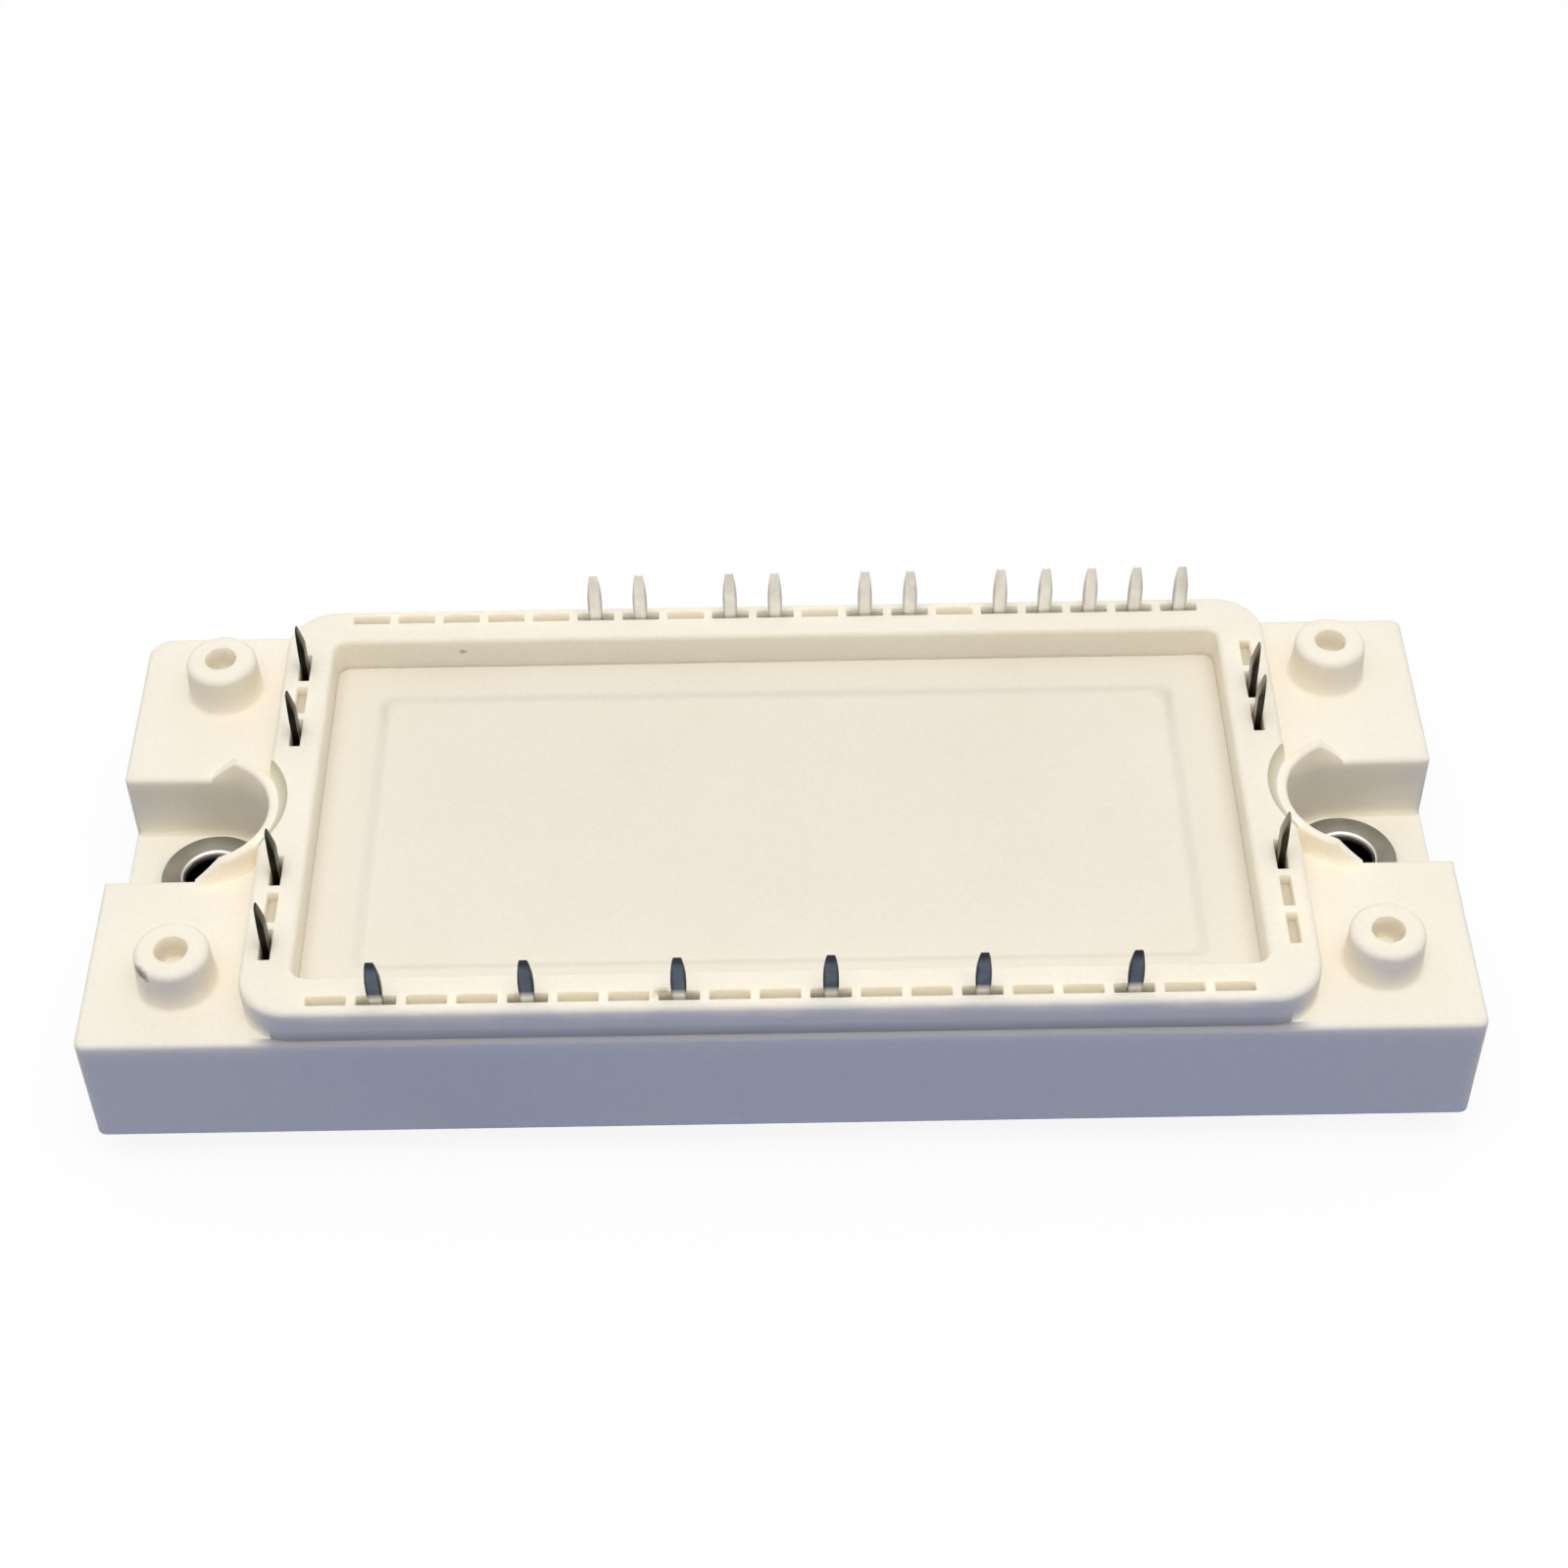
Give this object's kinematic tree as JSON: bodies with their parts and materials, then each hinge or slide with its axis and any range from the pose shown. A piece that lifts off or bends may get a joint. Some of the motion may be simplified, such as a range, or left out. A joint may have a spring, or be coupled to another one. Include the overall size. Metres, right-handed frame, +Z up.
{
  "type": "bridge rectifier module",
  "caption": "Flat rectangular power module with a moulded ivory case, raised pin frame, sunk lid, corner board posts, end screw recesses, flat upright pins and a metal base plate.",
  "frame": {"origin": "middle of the base plate's underside", "axes": "+X along the length, +Y towards the pin row with the most pins, +Z up along the pins"},
  "size_m": [0.1076, 0.045, 0.0215],
  "materials": {
    "housing_plastic": "matte ivory",
    "lid_plastic": "matte ivory",
    "nickel_plate": "satin nickel plate",
    "bush_steel": "turned steel",
    "tin": "satin tin plate",
    "copper": "bare copper",
    "alumina": "white, unglazed",
    "silicon": "dark, smooth",
    "bond_aluminium": "drawn wire"
  },
  "bodies": {
    "root": {"housing": "housing_plastic", "lid": "lid_plastic", "base_plate": "nickel_plate", "left_bush": "bush_steel", "right_bush": "bush_steel", "left_back_copper": "copper", "right_back_copper": "copper", "left_ceramic": "alumina", "right_ceramic": "alumina", "left_tracks": "copper", "right_tracks": "copper", "rectifier_diodes": "silicon", "inverter_transistors": "silicon", "freewheel_diodes": "silicon", "brake_transistor": "silicon", "brake_diode": "silicon", "thermistor": "silicon", "bond_wires": "bond_aluminium", "front_pin_1": "tin", "front_pin_2": "tin", "front_pin_3": "tin", "front_pin_4": "tin", "front_pin_5": "tin", "front_pin_6": "tin", "back_pin_1": "tin", "back_pin_2": "tin", "back_pin_3": "tin", "back_pin_4": "tin", "back_pin_5": "tin", "back_pin_6": "tin", "back_pin_7": "tin", "back_pin_8": "tin", "back_pin_9": "tin", "back_pin_10": "tin", "back_pin_11": "tin", "left_pin_1": "tin", "left_pin_2": "tin", "left_pin_3": "tin", "left_pin_4": "tin", "right_pin_1": "tin", "right_pin_2": "tin", "right_pin_3": "tin"}
  },
  "joints": []
}
